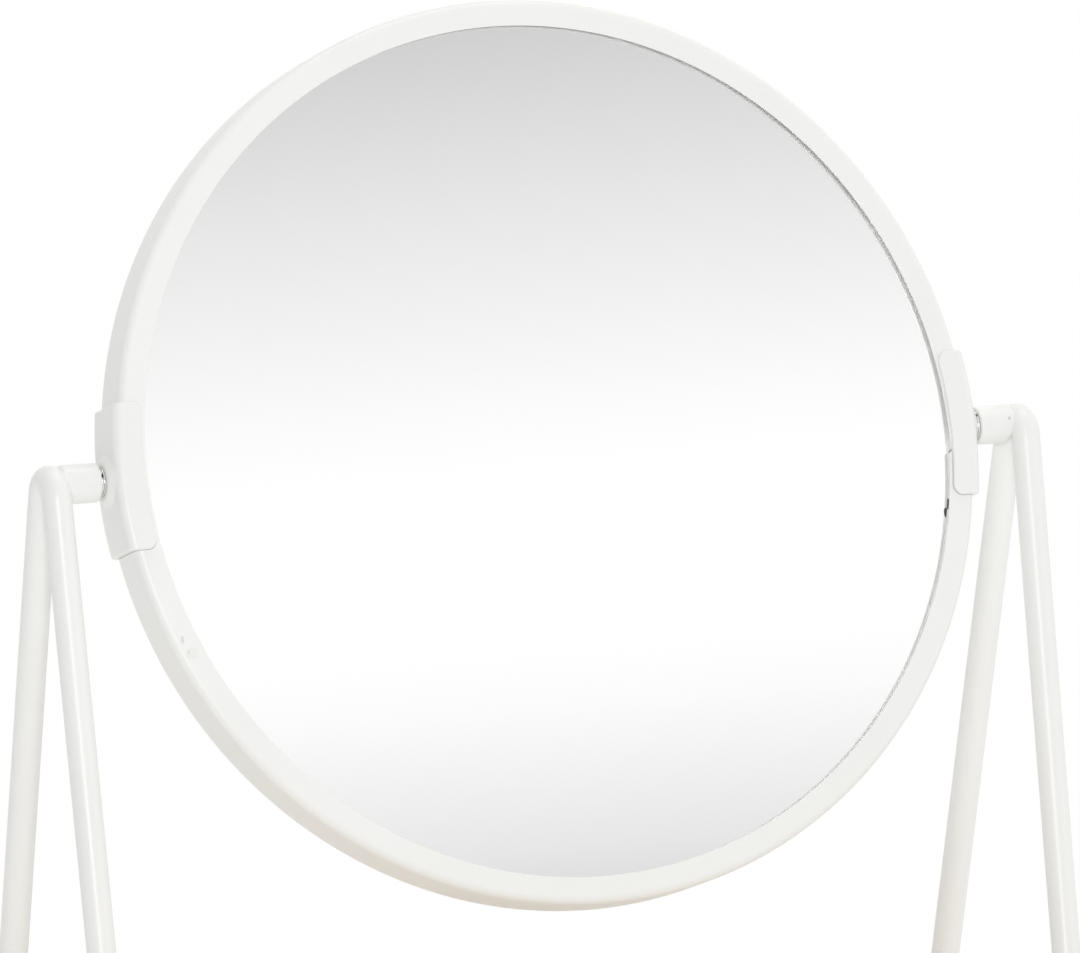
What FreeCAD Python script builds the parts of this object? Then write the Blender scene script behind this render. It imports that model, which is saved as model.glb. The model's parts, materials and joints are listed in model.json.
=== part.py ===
import FreeCAD
import Part
import math
import os
from FreeCAD import Vector

# A round two-sided table mirror that turns between two legs bent from round rod.
# Millimetres, +Z up, front of the mirror towards -Y, +X to the right seen from the front.
# The origin lies on the table, under the middle of the stand.

# Rim, rolled from one strip of sheet into a channel that is open towards the middle
rim_diameter = 230.0
rim_depth = 14.9
rim_sheet = 1.0
rim_lip_width = 6.8
rim_edge_radius = 2.0
rim_seam_gap = 0.3
rim_seam_drop = 7.3

# Glasses, their films and the foam ring between them
glass_thickness = 1.1
glass_edge_clearance = 0.2
magnifier_curve_radius = 1500.0
film_thickness = 0.2
film_margin = 1.5
foam_ring_width = 20.0
foam_ring_inset = 4.0

# Clip that wraps the rim at each pivot, with a raised round pad on its side
clip_length = 37.0
clip_side_wall = 1.6
clip_arm_thickness = 0.9
clip_edge_radius = 2.4
clip_corner_radius = 3.0
clip_lip_setback = 0.9
pad_rise = 1.4
pad_root_diameter = 13.0
pad_face_diameter = 9.2

# Pivot screw, bush and washers, from the inside of the rim to the sleeve
screw_diameter = 4.0
screw_head_height = 2.4
screw_socket_width = 2.5
screw_socket_depth = 1.2
screw_engagement = 6.5
thread_clearance = 0.02
pivot_clearance = 0.05
washer_clearance = 0.1
cavity_clearance = 0.3
bush_wall = 0.7
bush_seat_clearance = 0.05
friction_washer_thickness = 1.2
friction_washer_diameter = 8.0
spring_washer_thickness = 0.8

# Backing plate inside the rim and the countersunk screws that hold the rim to it
plate_thickness = 2.2
plate_length = 30.0
plate_screw_spacing = 20.0
plate_screw_diameter = 2.0
plate_screw_head_diameter = 3.8
plate_screw_head_height = 0.9
plate_screw_recess = 0.1
plate_screw_grip = 1.4

# Stand: two bent rods with pivot sleeves, joined by two cross rails on four foot collars
pivot_height = 315.0
rod_diameter = 7.3
sleeve_diameter = 9.8
sleeve_length = 8.5
sleeve_bore_margin = 0.6
sleeve_end_radius = 0.6
top_bend_rise = 1.3
top_bend_radius = 5.2
corner_bend_radius = 14.0
leg_slope = 13.2
leg_lean = 0.75
spigot_length = 28.0
spigot_clearance = 0.1
rail_wall = 1.3
rail_end_gap = 0.3
foot_wall = 2.0
foot_sole = 1.6
foot_width = 10.0
foot_base_width = 9.0
foot_inset = 4.0
foot_clearance = 0.05
lock_screw_diameter = 3.0
lock_screw_head_diameter = 5.2
lock_screw_head_height = 1.8
lock_screw_inset = 20.0
lock_screw_depth = 3.0
lock_screw_slot_width = 0.8
lock_screw_slot_depth = 0.8

# The mirror rests tilted back, as it stands in use, in degrees
rest_tilt = 18.2

# How far a cutting shape runs past the faces that it cuts
overrun = 1.0

# Radii and depths of the rim and the glasses
rim_radius = rim_diameter / 2
half_depth = rim_depth / 2
lip_radius = rim_radius - rim_lip_width
channel_radius = rim_radius - rim_sheet
glass_radius = rim_radius - rim_edge_radius - glass_edge_clearance
film_radius = glass_radius - film_margin
glass_seat = half_depth - rim_sheet
front_film_back = -glass_seat + glass_thickness + film_thickness

# Stations along the pivot axis, outwards from the middle of the mirror
plate_face = channel_radius - plate_thickness
screw_seat = plate_face - spring_washer_thickness
screw_head_end = screw_seat - screw_head_height
pad_face = rim_radius + clip_side_wall + pad_rise
sleeve_face = pad_face + friction_washer_thickness
leg_plane = sleeve_face + sleeve_length + rod_diameter / 2

# Radii of the stand's round members
rod_radius = rod_diameter / 2
sleeve_radius = sleeve_diameter / 2
screw_radius = screw_diameter / 2
bush_radius = screw_radius + pivot_clearance + bush_wall
rail_bore_radius = rod_radius + spigot_clearance
rail_radius = rail_bore_radius + rail_wall
rail_height = rail_radius + foot_sole

right = Vector(1, 0, 0)
back = Vector(0, 1, 0)
up = Vector(0, 0, 1)
pivot = up * pivot_height


def tilted(shape):
    """Carry a piece of the mirror head from its upright drawing place to its place at rest."""
    placed = shape.copy()
    placed.rotate(Vector(), right, -rest_tilt)
    placed.translate(pivot)
    return placed


def raised(shape):
    """Carry a piece of the pivot, drawn about the X axis, up to the pivot's height."""
    placed = shape.copy()
    placed.translate(pivot)
    return placed


def mirrored(shape):
    """The left-hand twin of a right-hand piece."""
    return shape.mirror(Vector(), right)


def bar(radius, start, end):
    """A round bar along the X axis between two stations."""
    return Part.makeCylinder(radius, end - start, right * start, right)


def disc(radius, start, end):
    """A round disc about the mirror's own axis, between two depths."""
    return Part.makeCylinder(radius, end - start, back * start, back)


def block(low, high):
    """A box between two opposite corners."""
    size = high - low
    return Part.makeBox(size.x, size.y, size.z, low)


def turned(edges):
    """The solid that a closed outline of radius and depth sweeps about the mirror's axis."""
    return Part.Face(Part.Wire(edges)).revolve(Vector(), back, 360)


def line(start, end):
    return Part.LineSegment(start, end).toShape()


def corner_arc(centre, radius, start_angle, end_angle):
    """An arc in the plane of radius and depth, between two angles in degrees."""
    points = []
    for angle in (start_angle, (start_angle + end_angle) / 2, end_angle):
        turn = math.radians(angle)
        points.append(centre + right * radius * math.cos(turn) + back * radius * math.sin(turn))
    return Part.Arc(*points).toShape()


def channel_outline(inner, outer, depth, edge, points_inwards):
    """One open side of a channel: lip, rounded edge, wall, rounded edge, lip."""
    front_centre = Vector(outer - edge, edge - depth, 0)
    rear_centre = Vector(outer - edge, depth - edge, 0)
    sides = [
        line(Vector(inner, -depth, 0), Vector(outer - edge, -depth, 0)),
        corner_arc(front_centre, edge, -90, 0),
        line(Vector(outer, edge - depth, 0), Vector(outer, depth - edge, 0)),
        corner_arc(rear_centre, edge, 0, 90),
        line(Vector(outer - edge, depth, 0), Vector(inner, depth, 0)),
    ]
    return sides[::-1] if points_inwards else sides


def channel(inner, outer_channel, inner_channel):
    """A ring of channel section between an outer and an inner outline of radius, depth and edge."""
    outer_depth = outer_channel[1]
    inner_depth = inner_channel[1]
    edges = channel_outline(inner, *outer_channel, points_inwards=False)
    edges.append(line(Vector(inner, outer_depth, 0), Vector(inner, inner_depth, 0)))
    edges += channel_outline(inner, *inner_channel, points_inwards=True)
    edges.append(line(Vector(inner, -inner_depth, 0), Vector(inner, -outer_depth, 0)))
    return turned(edges)


def dish_drop(radius):
    """How far the concave glass lies forward of its own edge at a radius."""
    def sag(at):
        return magnifier_curve_radius - math.sqrt(magnifier_curve_radius ** 2 - at ** 2)
    return sag(glass_radius) - sag(radius)


def dish_point(radius, edge_depth):
    return Vector(radius, edge_depth - dish_drop(radius), 0)


def dish_arc(inner, outer, edge_depth):
    """The dish's curve between two radii, for a dish whose glass edge lies at one depth."""
    middle = (inner + outer) / 2
    ends = [dish_point(at, edge_depth) for at in (inner, middle, outer)]
    return Part.Arc(*ends).toShape()


def dish(radius, rear_edge_depth, thickness):
    """A dished disc of even thickness, hollow towards the rear."""
    front_edge_depth = rear_edge_depth - thickness
    return turned([
        dish_arc(0, radius, rear_edge_depth),
        line(dish_point(radius, rear_edge_depth), dish_point(radius, front_edge_depth)),
        dish_arc(0, radius, front_edge_depth),
        line(dish_point(0, front_edge_depth), dish_point(0, rear_edge_depth)),
    ])


def bent_rod(corners, bend_radii):
    """A round rod along straight runs, with an arc at each corner between them."""
    edges = []
    start = corners[0]
    for before, corner, after, radius in zip(corners, corners[1:], corners[2:], bend_radii):
        towards = (before - corner).normalize()
        away = (after - corner).normalize()
        half_turn = (math.pi - towards.getAngle(away)) / 2
        setback = radius * math.tan(half_turn)
        inside = (towards + away).normalize()
        arc_start = corner + towards * setback
        arc_end = corner + away * setback
        arc_middle = corner + inside * (radius / math.cos(half_turn) - radius)
        edges.append(line(start, arc_start))
        edges.append(Part.Arc(arc_start, arc_middle, arc_end).toShape())
        start = arc_end
    edges.append(line(start, corners[-1]))
    section = Part.Wire(Part.makeCircle(rod_radius, corners[0], corners[1] - corners[0]))
    return Part.Wire(edges).makePipeShell([section], True, False)


def plate_screw_places(piece):
    """Two copies of a piece drawn on the pivot axis, turned along the rim to the screws of one plate."""
    swing = math.degrees(math.asin(plate_screw_spacing / 2 / rim_radius))
    copies = []
    for angle in (-swing, swing):
        copy = piece.copy()
        copy.rotate(Vector(), back, angle)
        copies.append(copy)
    return copies


# Countersunk screws and their holes, drawn on the pivot axis
head_top = rim_radius - plate_screw_recess
head_base = head_top - plate_screw_head_height
plate_screw_radius = plate_screw_diameter / 2
plate_screw_head_radius = plate_screw_head_diameter / 2
plate_screw_tip = channel_radius - plate_screw_grip
countersunk_head = Part.makeCone(
    plate_screw_radius, plate_screw_head_radius, plate_screw_head_height, right * head_base, right)
plate_screw = countersunk_head.fuse(bar(plate_screw_radius, plate_screw_tip, head_base)).removeSplitter()
countersink = Part.makeCone(
    plate_screw_radius + thread_clearance, plate_screw_head_radius + thread_clearance,
    plate_screw_head_height, right * head_base, right)
head_opening = bar(plate_screw_head_radius + thread_clearance, head_top, rim_radius + overrun)
shank_hole = bar(plate_screw_radius + thread_clearance, plate_face - overrun, head_base)
plate_screw_hole = Part.Compound([shank_hole, countersink, head_opening])

# Rim: the rolled channel, its butt seam below the right pivot, and holes for the bushes and plate screws
bush_hole = bar(bush_radius + bush_seat_clearance, plate_face - overrun, pad_face + overrun)
rim_band = channel(
    lip_radius, (rim_radius, half_depth, rim_edge_radius),
    (channel_radius, half_depth - rim_sheet, rim_edge_radius - rim_sheet))
seam_cut = block(
    Vector(lip_radius - overrun, -half_depth - overrun, -rim_seam_drop - rim_seam_gap / 2),
    Vector(rim_radius + overrun, half_depth + overrun, -rim_seam_drop + rim_seam_gap / 2))
right_rim_holes = [bush_hole] + plate_screw_places(plate_screw_hole)
left_rim_holes = [mirrored(hole) for hole in right_rim_holes]
rim_band = rim_band.cut([seam_cut] + right_rim_holes + left_rim_holes)

# Glasses with their films, and the foam ring that holds them apart
front_glass = disc(glass_radius, -glass_seat, -glass_seat + glass_thickness)
front_film = disc(film_radius, -glass_seat + glass_thickness, front_film_back)
rear_glass = dish(glass_radius, glass_seat, glass_thickness)
rear_film = dish(film_radius, glass_seat - glass_thickness, film_thickness)
rear_film_front = glass_seat - glass_thickness - film_thickness
foam_outer = screw_head_end - foam_ring_inset
foam_inner = foam_outer - foam_ring_width
foam_ring = turned([
    line(Vector(foam_inner, front_film_back, 0), Vector(foam_outer, front_film_back, 0)),
    line(Vector(foam_outer, front_film_back, 0), dish_point(foam_outer, rear_film_front)),
    dish_arc(foam_inner, foam_outer, rear_film_front),
    line(dish_point(foam_inner, rear_film_front), Vector(foam_inner, front_film_back, 0)),
])

# Clip: a short length of channel over the rim, with rounded arm corners and a pad that tapers to its face
clip_radius = rim_radius + clip_side_wall
clip_depth = half_depth + clip_arm_thickness
clip_arm_radius = lip_radius + clip_lip_setback
clip_ring = channel(
    clip_arm_radius, (clip_radius, clip_depth, clip_edge_radius), (rim_radius, half_depth, rim_edge_radius))
clip_ring.rotate(Vector(), back, 180)
clip_span = block(
    Vector(0, -clip_depth - overrun, -clip_length / 2),
    Vector(clip_radius + overrun, clip_depth + overrun, clip_length / 2))
clip = clip_ring.common(clip_span)
arm_corners = [
    edge for edge in clip.Edges
    if abs(edge.BoundBox.YLength - clip_arm_thickness) < thread_clearance
    and edge.BoundBox.XLength < thread_clearance
    and edge.BoundBox.ZLength < thread_clearance
]
clip = clip.makeFillet(clip_corner_radius, arm_corners)
pad_root = bar(pad_root_diameter / 2, rim_radius + clip_side_wall / 2, clip_radius)
pad = Part.makeCone(pad_root_diameter / 2, pad_face_diameter / 2, pad_rise, right * clip_radius, right)
right_clip = clip.fuse([pad_root, pad]).removeSplitter().cut(bush_hole)

# Backing plate: outer face rolled to the rim, inner face flat, narrow enough for the space between the films
rear_room = rear_film_front - dish_drop(plate_face)
front_room = -front_film_back
plate_half_width = min(front_room, rear_room) - cavity_clearance
plate_blank = block(
    Vector(plate_face, -plate_half_width, -plate_length / 2),
    Vector(channel_radius, plate_half_width, plate_length / 2))
right_plate = plate_blank.common(disc(channel_radius, -plate_half_width, plate_half_width))
right_plate = right_plate.cut([bush_hole] + plate_screw_places(plate_screw_hole))

# Bush, pivot screw and its washers; the screw's head fits between the two films
right_bush = bar(bush_radius, plate_face, pad_face).cut(
    bar(screw_radius + pivot_clearance, plate_face - overrun, pad_face + overrun))
head_radius = min(front_room, rear_film_front - dish_drop(screw_head_end)) - cavity_clearance
screw_tip = sleeve_face + screw_engagement
socket = bar(screw_socket_width / 2, screw_head_end, screw_head_end + screw_socket_depth)
right_screw = bar(head_radius, screw_head_end, screw_seat).fuse(bar(screw_radius, screw_seat, screw_tip))
right_screw = right_screw.removeSplitter().cut(socket)
washer_bore = bar(screw_radius + washer_clearance, screw_seat - overrun, sleeve_face + overrun)
right_spring_washer = bar(head_radius, screw_seat, plate_face).cut(washer_bore)
right_friction_washer = bar(friction_washer_diameter / 2, pad_face, sleeve_face).cut(washer_bore)

# Right leg: one rod from the front spigot, up over the top bend and down to the rear spigot
slope = math.radians(leg_slope)
lean = math.radians(leg_lean)
plane_down = Vector(-math.sin(lean), 0, -math.cos(lean))
front_leg_run = plane_down * math.cos(slope) - back * math.sin(slope)
rear_leg_run = plane_down * math.cos(slope) + back * math.sin(slope)
apex_rise = top_bend_rise + top_bend_radius / math.sin(slope) - top_bend_radius
apex = right * leg_plane + pivot - plane_down * apex_rise
run_length = (apex.z - rail_height) / -front_leg_run.z
front_corner = apex + front_leg_run * run_length
rear_corner = apex + rear_leg_run * run_length
corner_turn = front_leg_run.getAngle(-right)
corner_setback = corner_bend_radius * math.tan(corner_turn / 2)
spigot_run = -right * (corner_setback + spigot_length)
rod_corners = [front_corner + spigot_run, front_corner, apex, rear_corner, rear_corner + spigot_run]
right_leg = bent_rod(rod_corners, [corner_bend_radius, top_bend_radius, corner_bend_radius])

# Pivot sleeve: coped to the rod, with a blind threaded bore for the pivot screw
sleeve_blank = bar(sleeve_radius, sleeve_face, leg_plane)
face_edges = [edge for edge in sleeve_blank.Edges if edge.BoundBox.XMax < sleeve_face + sleeve_end_radius]
sleeve_blank = sleeve_blank.makeFillet(sleeve_end_radius, face_edges)
bore_end = sleeve_face + sleeve_length - sleeve_bore_margin
sleeve_bore = bar(screw_radius + thread_clearance, sleeve_face - overrun, bore_end)
right_sleeve = raised(sleeve_blank.cut(sleeve_bore)).cut(right_leg)

# Cross rails between the corners of the legs, with a lock screw in each end
rail_half_length = front_corner.x - corner_setback - rail_end_gap
rail_line = up * rail_height
lock_place = rail_half_length - lock_screw_inset
lock_radius = lock_screw_diameter / 2
lock_head_radius = lock_screw_head_diameter / 2
lock_head_top = rail_radius + lock_screw_head_height
lock_tip = rail_radius - rail_wall - lock_screw_depth
lock_shank = Part.makeCylinder(lock_radius, rail_radius - lock_tip, back * lock_tip, back)
lock_head = Part.makeCylinder(lock_head_radius, lock_screw_head_height, back * rail_radius, back)
lock_slot = block(
    Vector(-lock_head_radius - overrun, lock_head_top - lock_screw_slot_depth, -lock_screw_slot_width / 2),
    Vector(lock_head_radius + overrun, lock_head_top + overrun, lock_screw_slot_width / 2))
lock_screw = lock_shank.fuse(lock_head).removeSplitter().cut(lock_slot)
lock_hole = Part.makeCylinder(lock_radius + thread_clearance, rail_radius + overrun - lock_tip, back * lock_tip, back)
rail = bar(rail_radius, -rail_half_length, rail_half_length).cut(
    bar(rail_bore_radius, -rail_half_length - overrun, rail_half_length + overrun))

# Foot collar: a ring round the rail with a flat base on the table
foot_place = rail_half_length - foot_inset - foot_width / 2
foot_ring = bar(rail_radius + foot_wall, -foot_width / 2, foot_width / 2)
foot_base = block(
    Vector(-foot_width / 2, -foot_base_width / 2, -rail_height), Vector(foot_width / 2, foot_base_width / 2, 0))
table_cut = block(
    Vector(-foot_width, -foot_width - rail_radius, -rail_height - rail_radius - foot_wall),
    Vector(foot_width, foot_width + rail_radius, -rail_height))
foot = foot_ring.fuse(foot_base).removeSplitter().cut(
    [table_cut, bar(rail_radius + foot_clearance, -foot_width, foot_width)])


def moved(shape, offset):
    placed = shape.copy()
    placed.translate(offset)
    return placed


# Lock screws point into the front rail from behind and into the rear rail from in front
facing_forward = lock_screw.copy()
facing_forward.rotate(Vector(), up, 180)
hole_forward = lock_hole.copy()
hole_forward.rotate(Vector(), up, 180)
lock_screws = []
rails = {}
feet = {}
leg_holes = []
for end, corner_y, screw, hole in (
        ("front", front_corner.y, lock_screw, lock_hole), ("rear", rear_corner.y, facing_forward, hole_forward)):
    centre = rail_line + back * corner_y
    holes = []
    for side, place in (("left", -lock_place), ("right", lock_place)):
        lock_screws.append(moved(screw, centre + right * place))
        holes.append(moved(hole, centre + right * place))
    leg_holes.append(holes[-1])
    rails[end] = moved(rail, centre).cut(holes)
    for side, place in (("left", -foot_place), ("right", foot_place)):
        feet[end + "_" + side + "_foot"] = moved(foot, centre + right * place)
right_leg = right_leg.cut(leg_holes)

# The finished pieces, each under its own name
plate_screws = plate_screw_places(plate_screw)
plate_screws += [mirrored(screw) for screw in plate_screws]
pieces = {
    "rim_band": tilted(rim_band),
    "front_glass": tilted(front_glass),
    "rear_glass": tilted(rear_glass),
    "front_safety_film": tilted(front_film),
    "rear_safety_film": tilted(rear_film),
    "foam_spacer_ring": tilted(foam_ring),
    "rim_plate_screws": tilted(Part.Compound(plate_screws)),
    "front_cross_rail": rails["front"],
    "rear_cross_rail": rails["rear"],
    "rail_lock_screws": Part.Compound(lock_screws),
}
pieces.update(feet)
paired = {
    "pivot_clip": tilted(right_clip),
    "backing_plate": tilted(right_plate),
    "pivot_bush": tilted(right_bush),
    "pivot_screw": raised(right_screw),
    "spring_washer": raised(right_spring_washer),
    "friction_washer": raised(right_friction_washer),
    "pivot_sleeve": right_sleeve,
    "leg_frame": right_leg,
}
for name, shape in paired.items():
    pieces["right_" + name] = shape
    pieces["left_" + name] = mirrored(shape)

os.makedirs("parts", exist_ok=True)
for name, shape in pieces.items():
    shape.exportStep("parts/" + name + ".step")
    print(name, "solids", len(shape.Solids), "valid", shape.isValid(), "volume", round(shape.Volume, 1))
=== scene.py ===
# A round two-sided table mirror in a white rim that turns between two white legs bent from rod.
# Metres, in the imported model's frame: +Z up, front towards -Y, +X to the right.
import json
import math

import bmesh
import bpy
from mathutils import Matrix, Vector


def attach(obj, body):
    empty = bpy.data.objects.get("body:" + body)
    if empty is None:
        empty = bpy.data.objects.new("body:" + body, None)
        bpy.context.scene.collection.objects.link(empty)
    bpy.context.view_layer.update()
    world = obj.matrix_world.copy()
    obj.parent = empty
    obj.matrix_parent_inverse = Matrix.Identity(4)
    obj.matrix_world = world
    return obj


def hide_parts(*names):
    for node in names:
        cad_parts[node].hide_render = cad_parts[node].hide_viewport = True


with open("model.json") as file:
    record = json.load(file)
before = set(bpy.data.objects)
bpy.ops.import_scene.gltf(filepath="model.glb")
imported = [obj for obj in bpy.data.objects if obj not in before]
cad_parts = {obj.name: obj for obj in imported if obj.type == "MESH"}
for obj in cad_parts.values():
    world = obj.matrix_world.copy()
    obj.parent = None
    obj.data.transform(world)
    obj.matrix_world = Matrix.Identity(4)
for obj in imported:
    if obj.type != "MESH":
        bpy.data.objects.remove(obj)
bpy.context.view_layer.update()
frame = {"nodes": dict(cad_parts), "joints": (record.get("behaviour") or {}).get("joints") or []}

# Leg frames: one round steel rod each, bent over at the top into an A and turned in at
# both feet to plug into the cross rails, then powder coated white together with its sleeve.
right = Vector((1, 0, 0))
back = Vector((0, 1, 0))
up = Vector((0, 0, 1))
pivot = Vector(frame["joints"][0]["pos_m"])
rod_radius = 0.00365
rod_sides = 48
leg_plane = 0.13135
leg_slope = math.radians(13.2)
leg_lean = math.radians(0.75)
top_bend_rise = 0.0013
top_bend_radius = 0.0052
corner_bend_radius = 0.014
bend_steps = 32
spigot_length = 0.028
rail_height = 0.00665
flat_angle = math.radians(32)
weld_distance = 1e-7


def shade(piece):
    """Smooth shading that keeps the piece's real edges crisp."""
    piece.data.shade_smooth()
    piece.data.set_sharp_from_angle(angle=flat_angle)


def loft(name, loops, joined=False):
    """A piece skinned over equal loops of points, capped at both ends or joined into a ring."""
    skin = bmesh.new()
    rings = [[skin.verts.new(point) for point in loop] for loop in loops]
    pairs = list(zip(rings, rings[1:]))
    if joined:
        pairs.append((rings[-1], rings[0]))
    else:
        skin.faces.new(rings[0])
        skin.faces.new(rings[-1])
    for ring, following in pairs:
        for i in range(len(ring)):
            skin.faces.new((ring[i - 1], ring[i], following[i], following[i - 1]))
    bmesh.ops.remove_doubles(skin, verts=skin.verts, dist=weld_distance)
    bmesh.ops.recalc_face_normals(skin, faces=skin.faces)
    mesh = bpy.data.meshes.new(name)
    skin.to_mesh(mesh)
    skin.free()
    piece = bpy.data.objects.new(name, mesh)
    bpy.context.scene.collection.objects.link(piece)
    shade(piece)
    return piece


def rounded(corners, radii, steps, hold=0.0):
    """Points along straight runs, with an arc at each corner that has a radius.
    A hold adds a point just outside both ends of an arc, which keeps the runs' shading flat."""
    points = []
    for i, (corner, radius) in enumerate(zip(corners, radii)):
        if radius == 0:
            points.append(corner.copy())
            continue
        came = (corner - corners[i - 1]).normalized()
        goes = (corners[(i + 1) % len(corners)] - corner).normalized()
        turn = came.angle(goes)
        setback = radius * math.tan(turn / 2)
        inwards = (goes - came * came.dot(goes)).normalized()
        start = corner - came * setback
        if hold:
            points.append(start - came * hold)
        for step in range(steps + 1):
            angle = turn * step / steps
            points.append(start + radius * (came * math.sin(angle) + inwards * (1 - math.cos(angle))))
        if hold:
            points.append(corner + goes * (setback + hold))
    return points


def ring_about(centre, ahead, side, radius, sides):
    """Points on a circle across the direction ahead, beginning towards side."""
    other = ahead.cross(side)
    turns = [math.tau * i / sides for i in range(sides)]
    return [centre + radius * (side * math.cos(turn) + other * math.sin(turn)) for turn in turns]


def swept(name, path, radius, sides):
    """A round bar along a path of points."""
    side = (path[1] - path[0]).orthogonal()
    last = len(path) - 1
    loops = []
    for i, point in enumerate(path):
        ahead = (path[min(i + 1, last)] - path[max(i - 1, 0)]).normalized()
        side = (side - ahead * side.dot(ahead)).normalized()
        loops.append(ring_about(point, ahead, side, radius, sides))
    return loft(name, loops)


def mirrored(points):
    """The left-hand twins of right-hand points."""
    return [Vector((-point.x, point.y, point.z)) for point in points]


def feed(tree, node, inputs):
    """Give a node's inputs their values, or link them to the sockets that feed them."""
    for key, value in inputs.items():
        if isinstance(value, bpy.types.NodeSocket):
            tree.links.new(value, node.inputs[key])
        else:
            node.inputs[key].default_value = value


def place(tree, kind, inputs, **settings):
    """Put a node into a tree. Settings are its own properties, inputs are what feeds it."""
    node = tree.nodes.new("ShaderNode" + kind)
    for key, value in settings.items():
        setattr(node, key, value)
    feed(tree, node, inputs)
    return node


def ramp(tree, factor, *stops):
    """A colour that changes with a factor, from stops of position and colour."""
    node = place(tree, "ValToRGB", {"Fac": factor})
    elements = node.color_ramp.elements
    while len(elements) < len(stops):
        elements.new(1.0)
    for element, (position, colour) in zip(elements, stops):
        element.position = position
        element.color = (*colour, 1.0)
    return node.outputs["Color"]


def rescaled(tree, value, low, high, to=(0.0, 1.0), **settings):
    """A value's way from low to high, told as the way between two other numbers."""
    node = place(tree, "MapRange", {
        "Value": value, "From Min": low, "From Max": high, "To Min": to[0], "To Max": to[1]}, **settings)
    return node.outputs["Result"]


def effect(name, inputs, outputs):
    """A shared surface effect: its tree, its input values and its output node."""
    tree = bpy.data.node_groups.new(name, "ShaderNodeTree")
    for key, value in inputs.items():
        kind = "NodeSocketFloat" if isinstance(value, float) else "NodeSocketVector"
        tree.interface.new_socket(key, in_out="INPUT", socket_type=kind).default_value = value
    for key in outputs:
        tree.interface.new_socket(key, in_out="OUTPUT", socket_type="NodeSocketFloat")
    return tree, tree.nodes.new("NodeGroupInput").outputs, tree.nodes.new("NodeGroupOutput").inputs


def surface(name, **values):
    """A new material: its node tree and its shader, with the values that are the same all over."""
    material = bpy.data.materials.new(name)
    material.use_nodes = True
    tree = material.node_tree
    shader = tree.nodes["Principled BSDF"]
    for key, value in values.items():
        shader.inputs[key.replace("_", " ")].default_value = value
    return material, tree, shader


def finish(piece, body, material, node):
    """Give a piece its material, tie it to its body and hide the node that it stands for."""
    piece.data.materials.append(material)
    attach(piece, body)
    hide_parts(node)


# Uneven film of a sprayed or moulded skin: fine peel for the bump, slow drift for tone and gloss
skin_effect, skin_in, skin_out = effect(
    "uneven_skin", {"Peel Scale": 700.0, "Drift Scale": 18.0}, ["Peel", "Drift"])
skin_place = place(skin_effect, "TexCoord", {}).outputs["Object"]
peel = place(skin_effect, "TexNoise", {
    "Vector": skin_place, "Scale": skin_in["Peel Scale"], "Detail": 3.0, "Roughness": 0.55})
drift = place(skin_effect, "TexNoise", {
    "Vector": skin_place, "Scale": skin_in["Drift Scale"], "Detail": 4.0, "Roughness": 0.6})
skin_effect.links.new(peel.outputs["Fac"], skin_out["Peel"])
skin_effect.links.new(drift.outputs["Fac"], skin_out["Drift"])


def skin_coat(name, tones, gloss_range, peel_scale, peel_depth):
    """A pale skin over the whole piece: drifting tone and gloss, with a fine peel."""
    material, tree, shader = surface(name, Specular_IOR_Level=0.35)
    skin = place(tree, "Group", {"Peel Scale": peel_scale}, node_tree=skin_effect)
    tone = ramp(tree, skin.outputs["Drift"], (0.32, tones[0]), (0.68, tones[1]))
    gloss = rescaled(tree, skin.outputs["Drift"], 0.3, 0.7, gloss_range)
    bump = place(tree, "Bump", {"Height": skin.outputs["Peel"], "Strength": 0.5, "Distance": peel_depth})
    feed(tree, shader, {"Base Color": tone, "Roughness": gloss, "Normal": bump.outputs["Normal"]})
    return material


white_coat = {
    "tones": ((0.835, 0.838, 0.822), (0.862, 0.864, 0.85)), "gloss_range": (0.3, 0.38),
    "peel_scale": 700.0, "peel_depth": 0.000012}
powder_coat = skin_coat("powder_coat", **white_coat)
leg_down = Vector((-math.sin(leg_lean), 0, -math.cos(leg_lean)))
front_run = leg_down * math.cos(leg_slope) - back * math.sin(leg_slope)
rear_run = leg_down * math.cos(leg_slope) + back * math.sin(leg_slope)
apex_rise = top_bend_rise + top_bend_radius / math.sin(leg_slope) - top_bend_radius
apex = pivot + right * leg_plane - leg_down * apex_rise
run_length = (apex.z - rail_height) / -front_run.z
front_corner = apex + front_run * run_length
rear_corner = apex + rear_run * run_length
corner_setback = corner_bend_radius * math.tan(front_run.angle(-right) / 2)
spigot = -right * (corner_setback + spigot_length)
leg_path = rounded(
    [front_corner + spigot, front_corner, apex, rear_corner, rear_corner + spigot],
    [0, corner_bend_radius, top_bend_radius, corner_bend_radius, 0], bend_steps)
for side, path in (("right", leg_path), ("left", mirrored(leg_path))):
    leg = swept(side + "_leg", path, rod_radius, rod_sides)
    finish(leg, "stand", powder_coat, side + "_leg_frame")

# Pivot sleeves: short turned steel bushes with a threaded blind bore, coped to the side of the top
# bend and welded on. The weld is dressed and coated over, so it shows as a groove, hollow underneath.
sleeve_radius = 0.0049
sleeve_face = 0.1192
sleeve_end_round = 0.0006
sleeve_bore_radius = 0.00202
sleeve_bore_end = 0.1271
sleeve_neck_radius = 0.0036
sleeve_shoulder = leg_plane - 0.0022
sleeve_shoulder_round = 0.0009
weld_hollow_start = leg_plane - 0.0049
weld_hollow_end = leg_plane - 0.0033
weld_hollow_share = 0.42
weld_hollow_steps = 10
turn_steps = 96
arc_steps = 8
side_axes = {"right": right, "left": -right}


def turned(name, section, axis, steps=turn_steps, joined=False):
    """A section of radius and place along an axis, turned once round that axis."""
    side = axis.orthogonal().normalized()
    loops = [ring_about(axis * point.y, axis, side, point.x, steps) for point in section]
    return loft(name, loops, joined)


def outline(*points):
    """Corners of an outline, each given as radius or across, then place along."""
    return [Vector((across, along, 0)) for across, along in points]


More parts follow.
